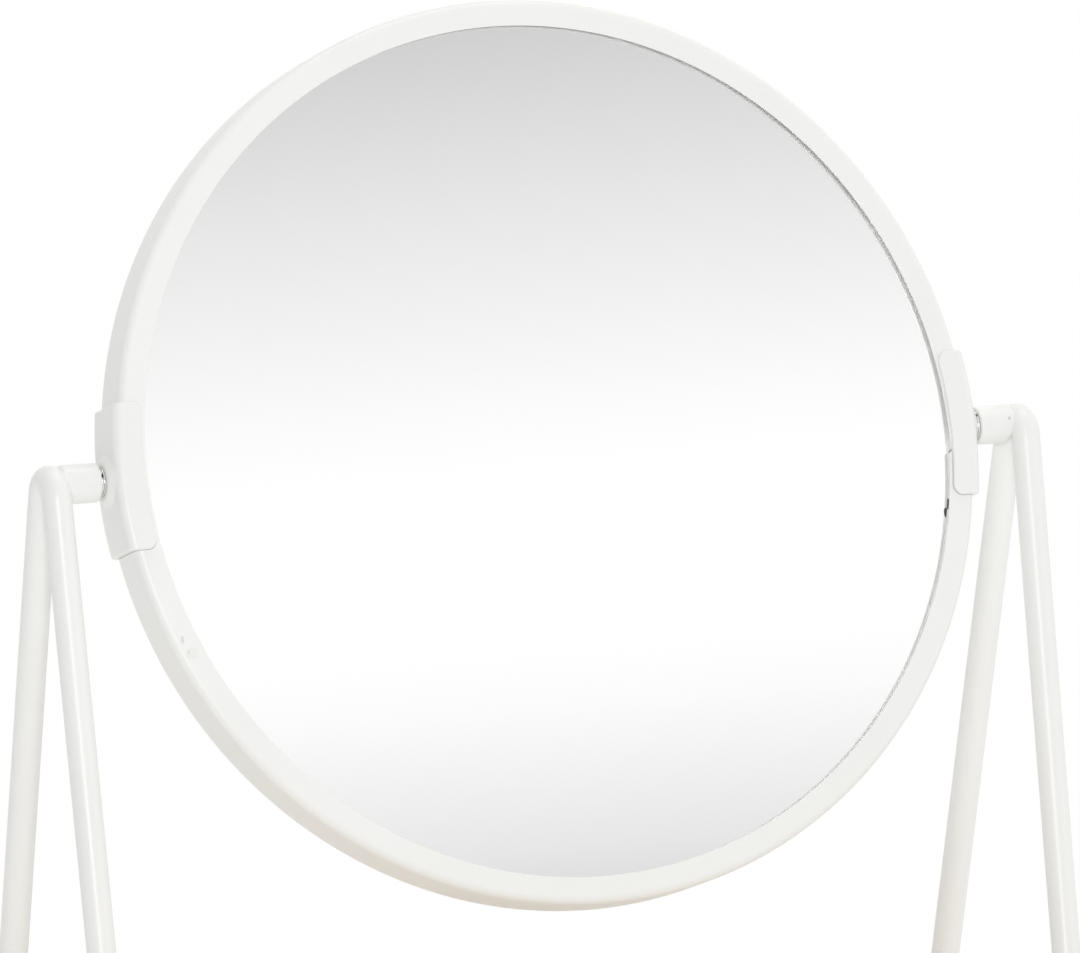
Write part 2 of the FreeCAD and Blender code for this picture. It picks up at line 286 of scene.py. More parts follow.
sleeve_wall = outline(*[
    (sleeve_radius, weld_hollow_end + (weld_hollow_start - weld_hollow_end) * step / weld_hollow_steps)
    for step in range(weld_hollow_steps + 1)])
sleeve_end = outline((0, leg_plane), (sleeve_neck_radius, leg_plane), (sleeve_neck_radius, sleeve_shoulder))
sleeve_end += outline((sleeve_radius, sleeve_shoulder))
sleeve_mouth = outline((sleeve_radius, sleeve_face), (sleeve_bore_radius, sleeve_face))
sleeve_mouth += outline((sleeve_bore_radius, sleeve_bore_end), (0, sleeve_bore_end))
sleeve_outline = rounded(
    sleeve_end + sleeve_wall + sleeve_mouth,
    [0, 0, 0, sleeve_shoulder_round] + [0] * len(sleeve_wall) + [sleeve_end_round, 0, 0, 0],
    arc_steps, sleeve_end_round / 4)
for side, axis in side_axes.items():
    sleeve = turned(side + "_sleeve", sleeve_outline, axis)
    for vertex in sleeve.data.vertices:
        reach = (abs(vertex.co.x) - weld_hollow_start) / (weld_hollow_end - weld_hollow_start)
        if vertex.co.z < 0 and reach > 0:
            vertex.co.z *= 1 - weld_hollow_share * (1 - math.sqrt(1 - min(1, reach) ** 2))
    sleeve.data.transform(Matrix.Translation(pivot))
    finish(sleeve, "stand", powder_coat, side + "_pivot_sleeve")


def reckon(tree, operation, *numbers):
    """The number that an operation makes of others."""
    return place(tree, "Math", dict(enumerate(numbers)), operation=operation).outputs["Value"]


def reckon_vector(tree, operation, *vectors):
    """The vector that an operation makes of others, or the number for a length or a dot product."""
    result = "Value" if operation in ("LENGTH", "DOT_PRODUCT") else "Vector"
    return place(tree, "VectorMath", dict(enumerate(vectors)), operation=operation).outputs[result]


# Ragged spot: a patch about one place, for scuffs and other marks in a coat, and for painted light and
# shade under the lip
spot_effect, spot_in, spot_out = effect(
    "scuff_and_painted_light_spot", {"Centre": (0, 0, 0), "Reach": (1, 1, 1), "Ragged": 0.5}, ["Mask"])
spot_place = place(spot_effect, "TexCoord", {}).outputs["Object"]
spot_offset = reckon_vector(spot_effect, "SUBTRACT", spot_place, spot_in["Centre"])
spot_share = reckon_vector(spot_effect, "DIVIDE", spot_offset, spot_in["Reach"])
spot_length = reckon_vector(spot_effect, "LENGTH", spot_share)
spot_edge = place(spot_effect, "TexNoise", {"Vector": spot_share, "Scale": 2.2, "Detail": 4.0})
spot_ragged = reckon(spot_effect, "MULTIPLY_ADD", spot_edge.outputs["Fac"], spot_in["Ragged"], spot_length)
spot_mask = rescaled(spot_effect, spot_ragged, 1.15, 0.95)
spot_effect.links.new(spot_mask, spot_out["Mask"])


def overlay(material, mask, tone):
    """Lay another tone over a material where a mask says so."""
    tree = material.node_tree
    shader = tree.nodes["Principled BSDF"]
    under = shader.inputs["Base Color"].links[0].from_socket
    mixed = place(tree, "MixRGB", {"Fac": mask, "Color1": under, "Color2": (*tone, 1)})
    feed(tree, shader, {"Base Color": mixed.outputs["Color"]})


def marked(material, centre, reach, ragged, tone):
    """Lay a ragged spot of another tone on a material, about one place in the frame."""
    spot = place(material.node_tree, "Group", {
        "Centre": centre, "Reach": reach, "Ragged": ragged}, node_tree=spot_effect)
    overlay(material, spot.outputs["Mask"], tone)


weld_pinhole = pivot + Vector((0.127, -0.0044, 0.0021))
marked(powder_coat, weld_pinhole, reach=(0.0005, 0.0006, 0.00045), ragged=0.4, tone=(0.6, 0.6, 0.6))

# Cross rails: two straight lengths of coated steel tube that take the turned-in ends of the
# legs and set the stand's width. The tube ends are deburred, so their edges are eased.
rail_radius = 0.00505
rail_bore_radius = 0.00375
rail_end_gap = 0.0003
rail_end_round = 0.0004
rail_half_length = front_corner.x - corner_setback - rail_end_gap
rail_outline = rounded(
    outline(
        (rail_radius, -rail_half_length), (rail_radius, rail_half_length),
        (rail_bore_radius, rail_half_length), (rail_bore_radius, -rail_half_length)),
    [rail_end_round] * 4, arc_steps, rail_end_round)
rail_lines = {
    "front": front_corner.y * back + rail_height * up,
    "rear": rear_corner.y * back + rail_height * up}
for end, line in rail_lines.items():
    rail = turned(end + "_rail", rail_outline, right, joined=True)
    rail.data.transform(Matrix.Translation(line))
    finish(rail, "stand", powder_coat, end + "_cross_rail")

# Lock screws: zinc-plated slotted screws with a low domed head, driven through the inner
# side of each rail end into the leg's spigot, where they are out of sight from outside.
lock_inset = 0.02
lock_radius = 0.0015
lock_head_radius = 0.0026
lock_head_height = 0.0018
lock_head_wall = 0.0007
lock_tip = 0.00075
lock_tip_cone = 0.0005
lock_slot_width = 0.0008
lock_slot_depth = 0.0008
lock_turn_steps = 48
dome_steps = 10

# Plated steel: cloudy plating for tone and gloss, and fine turned lines for the bump
plating_effect, plating_in, plating_out = effect(
    "plated_steel", {"Cloud Scale": 160.0, "Line Scale": 2600.0}, ["Clouds", "Lines"])
plating_place = place(plating_effect, "TexCoord", {}).outputs["Object"]
clouds = place(plating_effect, "TexNoise", {
    "Vector": plating_place, "Scale": plating_in["Cloud Scale"], "Detail": 5.0, "Roughness": 0.65})
lines = place(plating_effect, "TexWave", {
    "Vector": plating_place, "Scale": plating_in["Line Scale"], "Distortion": 2.0, "Detail": 2.0})
plating_effect.links.new(clouds.outputs["Fac"], plating_out["Clouds"])
plating_effect.links.new(lines.outputs["Fac"], plating_out["Lines"])


def plated_steel(name, tones, gloss_range, line_depth):
    """Bare plated steel with cloudy gloss and fine turned lines."""
    material, tree, shader = surface(name, Metallic=1.0)
    plating = place(tree, "Group", {}, node_tree=plating_effect)
    tone = ramp(tree, plating.outputs["Clouds"], (0.3, tones[0]), (0.65, tones[1]))
    gloss = rescaled(tree, plating.outputs["Clouds"], 0.7, 0.3, gloss_range)
    bump = place(tree, "Bump", {
        "Height": plating.outputs["Lines"], "Strength": 0.4, "Distance": line_depth})
    feed(tree, shader, {"Base Color": tone, "Roughness": gloss, "Normal": bump.outputs["Normal"]})
    return material


def cut(piece, cutter):
    """Take a cutter's volume out of a piece."""
    cutting = piece.modifiers.new("cut", "BOOLEAN")
    cutting.object = cutter
    cutting.solver = "EXACT"
    bpy.context.view_layer.update()
    finished = bpy.data.meshes.new_from_object(piece.evaluated_get(bpy.context.evaluated_depsgraph_get()))
    piece.modifiers.clear()
    finished.name = piece.name
    piece.data = finished
    bpy.data.objects.remove(cutter)
    shade(piece)


def box_between(name, low, high):
    """A cutter between two opposite corners."""
    loops = []
    for height in (low.z, high.z):
        loops.append([
            Vector((low.x, low.y, height)), Vector((high.x, low.y, height)),
            Vector((high.x, high.y, height)), Vector((low.x, high.y, height))])
    return loft(name, loops)


def join(pieces):
    """Make one piece of several, under the first one's name."""
    with bpy.context.temp_override(active_object=pieces[0], selected_editable_objects=pieces):
        bpy.ops.object.join()


zinc_plate = plated_steel(
    "zinc_plate", tones=((0.5, 0.5, 0.49), (0.64, 0.64, 0.63)),
    gloss_range=(0.26, 0.42), line_depth=0.000004)
lock_outline = outline((0, lock_tip), (lock_radius - lock_tip_cone, lock_tip))
lock_outline += outline((lock_radius, lock_tip + lock_tip_cone), (lock_radius, rail_radius))
lock_outline += outline((lock_head_radius, rail_radius), (lock_head_radius, rail_radius + lock_head_wall))
for step in range(1, dome_steps + 1):
    angle = math.pi / 2 * step / dome_steps
    rise = lock_head_wall + (lock_head_height - lock_head_wall) * math.sin(angle)
    lock_outline += outline((lock_head_radius * math.cos(angle), rail_radius + rise))
lock_head_top = rail_radius + lock_head_height
lock_screws = []
for end, facing in (("front", back), ("rear", -back)):
    for place_along in (-rail_half_length + lock_inset, rail_half_length - lock_inset):
        screw = turned(end + "_lock_screw", lock_outline, facing, lock_turn_steps)
        slot_low = Vector((-lock_head_radius * 2, lock_head_top - lock_slot_depth, -lock_slot_width / 2))
        slot_high = Vector((lock_head_radius * 2, lock_head_top * 2, lock_slot_width / 2))
        slot = box_between("slot", slot_low, slot_high)
        slot.data.transform(Matrix.Diagonal((1, facing.y, 1, 1)))
        if facing.y < 0:
            slot.data.flip_normals()
        cut(screw, slot)
        screw.data.transform(Matrix.Translation(rail_lines[end] + right * place_along))
        lock_screws.append(screw)
join(lock_screws)
lock_screws[0].name = "lock_screws"
finish(lock_screws[0], "stand", zinc_plate, "rail_lock_screws")

# Foot collars: soft white rubber rings pushed over the rails, with a flat pad on the table
# that keeps the painted tube off it. Their edges are moulded round.
foot_radius = 0.00705
foot_bore_radius = 0.0051
foot_width = 0.01
foot_base_half_width = 0.0045
foot_inset = 0.004
foot_edge_round = 0.0007
foot_turn_steps = 72


def foot_reach(angle, shrink):
    """How far the collar reaches from the rail's middle in a direction, 0 being straight down."""
    ring = foot_radius - shrink
    down = math.cos(angle)
    across = abs(math.sin(angle))
    if down <= 0:
        return ring
    base = (rail_height - shrink) / down
    flank = (foot_base_half_width - shrink) / max(across, weld_distance)
    return max(min(base, flank), min(ring, base))


def foot_slices():
    """Slices along the collar: over the outside with eased ends, then back through the bore."""
    slices = []
    for step in range(arc_steps + 1):
        angle = math.pi / 2 * step / arc_steps
        along = foot_width / 2 - foot_edge_round * (1 - math.sin(angle))
        shrink = foot_edge_round * (1 - math.cos(angle))
        slices += [(-along, shrink), (along, shrink)]
    return sorted(slices)


def foot_loop(along, shrink, bore):
    """One slice of the collar's outside or bore at a place along the rail."""
    points = []
    for step in range(foot_turn_steps):
        angle = math.tau * step / foot_turn_steps
        reach = foot_bore_radius if bore else foot_reach(angle, shrink)
        points.append(Vector((along, reach * math.sin(angle), -reach * math.cos(angle))))
    return points


foot_rubber = skin_coat(
    "foot_rubber", tones=((0.7, 0.7, 0.69), (0.78, 0.78, 0.77)), gloss_range=(0.55, 0.7),
    peel_scale=2200.0, peel_depth=0.00002)
collar_loops = [foot_loop(along, shrink, False) for along, shrink in foot_slices()]
collar_loops.append(foot_loop(foot_width / 2 - foot_edge_round / 2, 0, True))
collar_loops.append(foot_loop(-foot_width / 2 + foot_edge_round / 2, 0, True))
foot_place = rail_half_length - foot_inset - foot_width / 2
for end, line in rail_lines.items():
    for side, along in (("left", -foot_place), ("right", foot_place)):
        collar = loft(end + "_" + side + "_collar", collar_loops, joined=True)
        collar.data.transform(Matrix.Translation(line + right * along))
        finish(collar, "stand", foot_rubber, end + "_" + side + "_foot")

# Rim: a strip of steel sheet rolled into a channel that is open towards the middle, closed
# at a butt seam just below the right pivot, and coated white. It holds both glasses.
rest_tilt = math.radians(18.2)
head_place = Matrix.Translation(pivot) @ Matrix.Rotation(-rest_tilt, 4, "X")
rim_radius = 0.115
rim_half_depth = 0.00745
rim_sheet = 0.001
rim_lip_radius = 0.1082
rim_edge_radius = 0.002
rim_lip_round = 0.00016
rim_lip_back_round = 0.0007
rim_hold = 0.00006
rim_seam_gap = 0.0003
rim_seam_drop = 0.0073
rim_corner_round = 0.0012
rim_seam_step = 0.00055
rim_seam_step_reach = 0.095
rim_steps = 480
bush_hole_radius = 0.0028
bush_hole_start = 0.1
bush_hole_end = 0.125


def rim_section(lip):
    """The channel's outline of radius and depth, with its lips ending at one radius."""
    inner_radius = rim_radius - rim_sheet
    inner_depth = rim_half_depth - rim_sheet
    corners = outline(
        (lip, -rim_half_depth), (rim_radius, -rim_half_depth), (rim_radius, rim_half_depth),
        (lip, rim_half_depth), (lip, inner_depth), (inner_radius, inner_depth),
        (inner_radius, -inner_depth), (lip, -inner_depth))
    inner_edge = rim_edge_radius - rim_sheet
    radii = [
        rim_lip_round, rim_edge_radius, rim_edge_radius, rim_lip_round,
        rim_lip_back_round, inner_edge, inner_edge, rim_lip_back_round]
    return rounded(corners, radii, arc_steps, rim_hold)


def rim_loops():
    """Sections round the rim from one side of the seam to the other, with the strip's corners rounded.
    The strip's upper end is rolled a little less, so that its lip steps back from the lower end's."""
    seam = -math.asin(rim_seam_drop / rim_radius)
    half_gap = rim_seam_gap / 2 / rim_radius
    corner_span = rim_corner_round / rim_lip_radius
    near = [half_gap + corner_span * (step / arc_steps) ** 2 for step in range(arc_steps + 1)]
    far = [math.tau * step / rim_steps for step in range(2, rim_steps - 1)]
    turns = near + far + [math.tau - turn for turn in reversed(near)]
    loops = []
    for turn in turns:
        from_end = (min(turn, math.tau - turn) - half_gap) * rim_lip_radius
        nook = max(0, rim_corner_round - from_end)
        lip = rim_lip_radius + rim_corner_round - math.sqrt(max(0, rim_corner_round ** 2 - nook ** 2))
        if turn < math.pi:
            lip += rim_seam_step * max(0, 1 - from_end / rim_seam_step_reach) ** 2
        angle = seam + turn
        loops.append([
            Vector((point.x * math.cos(angle), point.y, point.x * math.sin(angle)))
            for point in rim_section(lip)])
    return loops


def drill_for_bush(piece, axis):
    """Drill a piece of the head for the pivot's bush."""
    cut(piece, turned("drill", outline(
        (0, bush_hole_start), (bush_hole_radius, bush_hole_start),
        (bush_hole_radius, bush_hole_end), (0, bush_hole_end)), axis))


def mark_head(material, depth, marks):
    """Spots on the head at one depth: turn in degrees, radius, reach, raggedness and tone of each."""
    for turn, radius, reach, ragged, tone in marks:
        angle = math.radians(turn)
        centre = head_place @ Vector((radius * math.cos(angle), depth, radius * math.sin(angle)))
        marked(material, centre, reach, ragged, tone)


rim = loft("rim", rim_loops())
for axis in side_axes.values():
    drill_for_bush(rim, axis)
rim.data.transform(head_place)
rim_coat = skin_coat("rim_coat", **white_coat)
rim_scuffs = [
    (203.85, 0.1116, (0.0024, 0.004, 0.002), 0.7, (0.825, 0.828, 0.795)),
    (201.75, 0.1122, (0.0006, 0.002, 0.0012), 0.6, (0.72, 0.715, 0.72)),
    (203.5, 0.1123, (0.0004, 0.002, 0.0005), 0.6, (0.7, 0.7, 0.65))]
mark_head(rim_coat, -rim_half_depth, rim_scuffs)
finish(rim, "mirror_head", rim_coat, "rim_band")

# Glasses: a flat one in front and a magnifying one behind, hollow on its outer face. Both are thin
# float glass with a ground edge, silvered on the hidden side up to the lip and lacquered beyond it,
# in a mid grey that is painted shade for the slit seen under the lip.
glass_radius = 0.1128
glass_seat = 0.00645
glass_thickness = 0.0011
glass_slack = 0.00002
glass_chamfer = 0.0003
silver_radius = 0.10828
silver_depth = glass_thickness - glass_seat
magnifier_curve_radius = 1.5
glass_turn_steps = 360
dish_rings = 40


def dish_drop(radius):
    """How far the hollow glass lies forward of its own edge at a radius."""
    edge = math.sqrt(magnifier_curve_radius ** 2 - glass_radius ** 2)
    return math.sqrt(magnifier_curve_radius ** 2 - radius ** 2) - edge


def pane(name, outer_face, inner_face, rings, drop):
    """A round pane between two depths at its edge, silvered on its inner face."""
    sign = 1 if inner_face > outer_face else -1
    chamfer = glass_chamfer * sign
    flat_radius = glass_radius - glass_chamfer
    radii = [silver_radius * ring / rings for ring in range(rings + 1)] + [flat_radius]
    profile = outline(*[(radius, outer_face - drop(radius)) for radius in radii])
    profile += outline((glass_radius, outer_face + chamfer), (glass_radius, inner_face - chamfer))
    profile += outline(*[(radius, inner_face - drop(radius)) for radius in reversed(radii)])
    made = turned(name, profile, back, glass_turn_steps)
    for material in (clear_glass, silvering, edge_lacquer_and_painted_shade):
        made.data.materials.append(material)
    for polygon in made.data.polygons:
        inner = polygon.normal.y * sign > math.cos(flat_angle)
        beyond_silvering = math.hypot(polygon.center.x, polygon.center.z) > silver_radius
        if inner:
            polygon.material_index = 2 if beyond_silvering else 1
    made.data.transform(head_place)
    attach(made, "mirror_head")
    return made


def blend(tree, share, first, second):
    """A look that goes from the first to the second as a share goes from nothing to one."""
    return place(tree, "MixShader", {0: share, 1: first, 2: second}).outputs["Shader"]


# Cleaning haze: a very faint cloudiness left by wiping, which only touches the tint
haze_effect, haze_in, haze_out = effect("wiping_haze", {"Haze Scale": 9.0}, ["Haze"])
haze_place = place(haze_effect, "TexCoord", {}).outputs["Object"]
haze = place(haze_effect, "TexNoise", {
    "Vector": haze_place, "Scale": haze_in["Haze Scale"],
    "Detail": 6.0, "Roughness": 0.6, "Distortion": 0.6})
haze_effect.links.new(haze.outputs["Fac"], haze_out["Haze"])
clear_glass, glass_tree, glass_shader = surface(
    "clear_glass", Transmission_Weight=1.0, IOR=1.52, Roughness=0.0)
glass_haze = place(glass_tree, "Group", {}, node_tree=haze_effect)
glass_tint = ramp(
    glass_tree, glass_haze.outputs["Haze"], (0.3, (0.99, 0.992, 0.991)), (0.7, (0.996, 0.997, 0.996)))
glass_tree.links.new(glass_tint, glass_shader.inputs["Base Color"])
lamp_rays = place(glass_tree, "LightPath", {}).outputs["Is Shadow Ray"]
lamp_pass = place(glass_tree, "BsdfTransparent", {})
glass_look = blend(glass_tree, lamp_rays, glass_shader.outputs["BSDF"], lamp_pass.outputs["BSDF"])
feed(glass_tree, glass_tree.nodes["Material Output"], {"Surface": glass_look})
silvering, silver_tree, silver_shader = surface("silvering", Metallic=1.0, Roughness=0.0)
silver_haze = place(silver_tree, "Group", {}, node_tree=haze_effect)
silver_tint = ramp(
    silver_tree, silver_haze.outputs["Haze"], (0.3, (0.955, 0.956, 0.954)), (0.7, (0.962, 0.962, 0.961)))
silver_tree.links.new(silver_tint, silver_shader.inputs["Base Color"])
# The lacquer's mid grey is painted shade: it keeps the slit seen under the lip dark.
edge_lacquer_and_painted_shade = skin_coat(
    "edge_lacquer_and_painted_shade", tones=((0.42, 0.425, 0.42), (0.5, 0.503, 0.497)), gloss_range=(0.5, 0.6),
    peel_scale=900.0, peel_depth=0.00001)
# Patches laid on the lacquer under the lip: painted light at the lower right and at 16 degrees, painted
# shade under the seam's gap, and a near-black dash at the right.
painted_light_grey = (0.82, 0.82, 0.81)
near_black_dash = (0.03, 0.032, 0.034)
lacquer_light_shade_and_dashes = [
    (-30, 0.1085, (0.05, 0.06, 0.062), 0.2, painted_light_grey),
    (16, 0.1085, (0.02, 0.06, 0.032), 0.2, (0.6, 0.6, 0.59)),
    (-3.9, 0.1093, (0.0006, 0.002, 0.0009), 0.4, (0.26, 0.26, 0.26)),
    (-10.9, 0.1086, (0.0012, 0.002, 0.0017), 0.5, near_black_dash)]
mark_head(edge_lacquer_and_painted_shade, silver_depth, lacquer_light_shade_and_dashes)
# The silvering gets a near-black dash just inside the lip at the right.
mark_head(silvering, silver_depth, [(-12.1, 0.1081, (0.0007, 0.002, 0.0015), 0.5, near_black_dash)])
front_pane = pane(
    "front_pane", glass_slack - glass_seat, silver_depth - glass_slack, 1, lambda radius: 0)
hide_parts("front_glass")
rear_pane = pane(
    "magnifying_pane", glass_seat - glass_slack, glass_slack - silver_depth, dish_rings, dish_drop)
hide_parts("rear_glass")

# Safety films: grey polyester stuck over the silvering, so that a broken glass stays together.
# They are cut from sheet a little smaller than the glass, with a faint woven scrim in them.
film_radius = 0.1113
film_thickness = 0.0002
film_back = -silver_depth
scrim_scale = 900.0


def dress(material, *nodes):
    """Give CAD nodes whose shape stays their finished material."""
    for name in nodes:
        frame["nodes"][name].data.materials.clear()
        frame["nodes"][name].data.materials.append(material)


safety_film, film_tree, film_shader = surface("safety_film", Roughness=0.55)
film_place = place(film_tree, "TexCoord", {}).outputs["Object"]
scrim = place(film_tree, "TexWave", {"Vector": film_place, "Scale": scrim_scale}, bands_direction="X")
scrim_across = place(
    film_tree, "TexWave", {"Vector": film_place, "Scale": scrim_scale}, bands_direction="Z")
weave = reckon(film_tree, "MAXIMUM", scrim.outputs["Fac"], scrim_across.outputs["Fac"])
film_tone = ramp(film_tree, weave, (0.2, (0.25, 0.265, 0.275)), (0.9, (0.3, 0.315, 0.325)))
film_bump = place(film_tree, "Bump", {"Height": weave, "Strength": 0.4, "Distance": 0.00003})
feed(film_tree, film_shader, {"Base Color": film_tone, "Normal": film_bump.outputs["Normal"]})
dress(safety_film, "front_safety_film")
film_radii = [film_radius * ring / dish_rings for ring in range(dish_rings + 1)]
film_outline = outline(*[(radius, film_back - dish_drop(radius)) for radius in film_radii])
film_outline += outline(
    *[(radius, film_back - film_thickness - dish_drop(radius)) for radius in reversed(film_radii)])
hollow_film = turned("hollow_film", film_outline, back, glass_turn_steps)
hollow_film.data.transform(head_place)
finish(hollow_film, "mirror_head", safety_film, "rear_safety_film")

# Foam ring: dark open foam cut from sheet, squeezed between the two films so that it presses
# both glasses out against the rim's lips and keeps them from rattling.
foam_inner = 0.0846
foam_outer = 0.1046
foam_film_gap = 0.00005
foam_edge_round = 0.0012
foam_bulge = 0.0006
foam_turn_steps = 240
foam_rear = film_back - film_thickness - foam_film_gap
foam_front = -foam_rear
foam_outline = rounded(
    outline(
        (foam_inner, foam_front), (foam_outer, foam_front),
        (foam_outer + foam_bulge, 0), (foam_outer, foam_rear - dish_drop(foam_outer)),
        (foam_inner, foam_rear - dish_drop(foam_inner)), (foam_inner - foam_bulge, 0)),
    [foam_edge_round] * 6, arc_steps)
foam_skin, foam_tree, foam_shader = surface("open_foam", Roughness=0.9)
foam_place = place(foam_tree, "TexCoord", {}).outputs["Object"]
cells = place(foam_tree, "TexVoronoi", {"Vector": foam_place, "Scale": 1100.0}, feature="DISTANCE_TO_EDGE")
foam_tone = ramp(
    foam_tree, cells.outputs["Distance"], (0.02, (0.05, 0.05, 0.053)), (0.25, (0.018, 0.018, 0.02)))
foam_bump = place(foam_tree, "Bump", {
    "Height": cells.outputs["Distance"], "Strength": 0.9, "Distance": 0.0003}, invert=True)
feed(foam_tree, foam_shader, {"Base Color": foam_tone, "Normal": foam_bump.outputs["Normal"]})
foam = turned("foam_ring", foam_outline, back, foam_turn_steps, joined=True)
foam.data.transform(head_place)
finish(foam, "mirror_head", foam_skin, "foam_spacer_ring")

# Backing plates with their four countersunk screws: plain zinc-plated steel, pressed to the
# rim's curve and screwed to it from outside under the clips, to carry the pivots.
dress(zinc_plate, "left_backing_plate", "right_backing_plate", "rim_plate_screws")

# Pivot clips: white moulded saddles that snap over the rim and hide its screws and seam. The arms
# stop just short of the lip with rounded corners, and a raised round pad bears on the washer.
clip_length = 0.037
clip_radius = 0.1166
clip_half_depth = 0.00835
clip_arm_radius = 0.1091
clip_edge_radius = 0.0024
clip_corner_radius = 0.003
clip_end_round = 0.0005
clip_tip_round = 0.0004
clip_slack = 0.00002
clip_step = 0.00025
clip_side_steps = 44
pad_face = 0.118
pad_face_radius = 0.0045
pad_root_radius = 0.0071


def pad_share(distance):
    """One on the pad's face, nothing beyond its root, and a soft slope between."""
    share = min(1, max(0, (pad_root_radius - distance) / (pad_root_radius - pad_face_radius)))
    return share * share * (3 - 2 * share)


def quarter_round(from_end, radius):
    """How much a round corner of that radius takes away at a distance from the end."""
    nook = min(radius, max(0, radius - from_end))
    return radius - math.sqrt(radius ** 2 - nook ** 2)


def clip_slice(height):
    """One level slice of the clip: out along an arm, over the side and back, then along the rim."""
    from_end = clip_length / 2 - abs(height)
    shrink = quarter_round(from_end, clip_end_round)
    tip = clip_arm_radius + quarter_round(from_end, clip_corner_radius)
    outer = clip_radius - shrink
    depth = clip_half_depth - shrink
    edge = clip_edge_radius - shrink
    seat_radius = rim_radius + clip_slack
    seat_depth = rim_half_depth + clip_slack
    tip_round = min(clip_tip_round, depth - seat_depth - 2 * clip_slack)
    arm = rounded(
        outline((tip, -seat_depth), (tip, -depth), (outer, -depth), (outer, 0)),
        [0, tip_round, edge, 0], arc_steps, clip_slack)[:-1]
    side_start = arm[-1].y
    side = outline(*[
        (outer, side_start * (1 - 2 * step / clip_side_steps)) for step in range(1, clip_side_steps)])
    rear_arm = [Vector((point.x, -point.y, 0)) for point in reversed(arm)]
    seat = rounded(
        outline(
            (tip, seat_depth), (seat_radius, seat_depth), (seat_radius, -seat_depth), (tip, -seat_depth)),
        [0, rim_edge_radius, rim_edge_radius, 0], arc_steps)[1:-1]
    outside = arm + side + rear_arm
    for point in outside:
        flat = math.hypot(pad_face, height)
        point.x += (flat - point.x) * pad_share(math.hypot(point.y, height))
    return [Vector((math.sqrt(point.x ** 2 - height ** 2), point.y, height)) for point in outside + seat]


clip_plastic = skin_coat(
    "clip_plastic", tones=((0.832, 0.836, 0.818), (0.852, 0.855, 0.84)), gloss_range=(0.26, 0.34),
    peel_scale=1500.0, peel_depth=0.000006)
level_count = round(clip_length / clip_step)
levels = [clip_step * step - clip_length / 2 for step in range(1, level_count)]
end_levels = [clip_length / 2 - clip_end_round * (step / arc_steps) ** 2 for step in range(arc_steps)]
levels = sorted(levels + end_levels + [-level for level in end_levels])
clip_slices = [clip_slice(level) for level in levels]
for side, axis in side_axes.items():
    slices = clip_slices if side == "right" else [mirrored(points) for points in clip_slices]
    clip = loft(side + "_clip", slices)
    drill_for_bush(clip, axis)
    clip.data.transform(head_place)
    finish(clip, "mirror_head", clip_plastic, side + "_pivot_clip")

# Painted shade line: a thin grey line of painted shade on the rim's coat along the lower outline of each
# clip, where the clip meets the rim.
# It is laid in the coat by the distance from the clip's tip, corner and end, and fades in towards the
# clip's lower end.
clip_shade_width = 0.00028
clip_shade_tone = (0.5, 0.5, 0.48)
clip_shade_top = 0.004
clip_shade_full = 0.011
black = (0, 0, 0)
white = (1, 1, 1)
head_down = (head_place.to_3x3() @ -up).normalized()
clip_shade_tree = rim_coat.node_tree
coat_place = place(clip_shade_tree, "TexCoord", {}).outputs["Object"]
from_pivot = reckon_vector(clip_shade_tree, "SUBTRACT", coat_place, pivot)
clip_shade_across = reckon_vector(clip_shade_tree, "DOT_PRODUCT", from_pivot, right)
clip_shade_drop = reckon_vector(clip_shade_tree, "DOT_PRODUCT", from_pivot, head_down)
clip_shade_plane = place(clip_shade_tree, "CombineXYZ", {"X": clip_shade_across, "Y": clip_shade_drop}).outputs["Vector"]
clip_shade_radius = reckon_vector(clip_shade_tree, "LENGTH", clip_shade_plane)
inside_corner = reckon(clip_shade_tree, "SUBTRACT", clip_shade_radius, clip_arm_radius + clip_corner_radius)
past_tip = reckon(clip_shade_tree, "MINIMUM", inside_corner, 0.0)
below_corner = reckon(clip_shade_tree, "SUBTRACT", clip_shade_drop, clip_length / 2 - clip_corner_radius)
past_end = reckon(clip_shade_tree, "MAXIMUM", below_corner, 0.0)
from_corner = place(clip_shade_tree, "CombineXYZ", {"X": past_tip, "Y": past_end}).outputs["Vector"]
from_outline = reckon_vector(clip_shade_tree, "LENGTH", from_corner)
clip_shade_share = rescaled(clip_shade_tree, from_outline, clip_corner_radius, clip_corner_radius + clip_shade_width)
clip_shade_line = ramp(clip_shade_tree, clip_shade_share, (0.0, black), (0.05, white), (0.6, white), (0.95, black))
clip_shade_lower = rescaled(clip_shade_tree, clip_shade_drop, clip_shade_top, clip_shade_full)
# The grey laid over the coat here is painted shade along the clip's lower outline.
overlay(rim_coat, reckon(clip_shade_tree, "MULTIPLY", clip_shade_line, clip_shade_lower), clip_shade_tone)

# Pivot screws, their spring washers and the nylon bushes that they turn in: the screw's head
# sits between the films inside the rim, and its thread holds the clip's pad against the sleeve.
dress(zinc_plate, "left_pivot_screw", "right_pivot_screw", "left_spring_washer", "right_spring_washer")
bush_nylon = skin_coat(
    "bush_nylon", tones=((0.74, 0.72, 0.64), (0.8, 0.78, 0.71)), gloss_range=(0.4, 0.5),
    peel_scale=900.0, peel_depth=0.00001)
dress(bush_nylon, "left_pivot_bush", "right_pivot_bush")

# Friction washers: a flat steel washer and a split spring washer, both bright plated, pressed between
# each pad and sleeve, where they hold the mirror at its tilt. The spring's cut ends stand a little apart.
washer_bore_radius = 0.0021
washer_radius = 0.004
washer_edge_round = 0.00016
flat_washer_sheet = 0.0005
spring_washer_sheet = 0.00058
spring_rise = 0.00006
spring_cut_places = {"right": math.radians(128), "left": math.radians(147)}
spring_cut = math.radians(13)
washer_slack = 0.00002


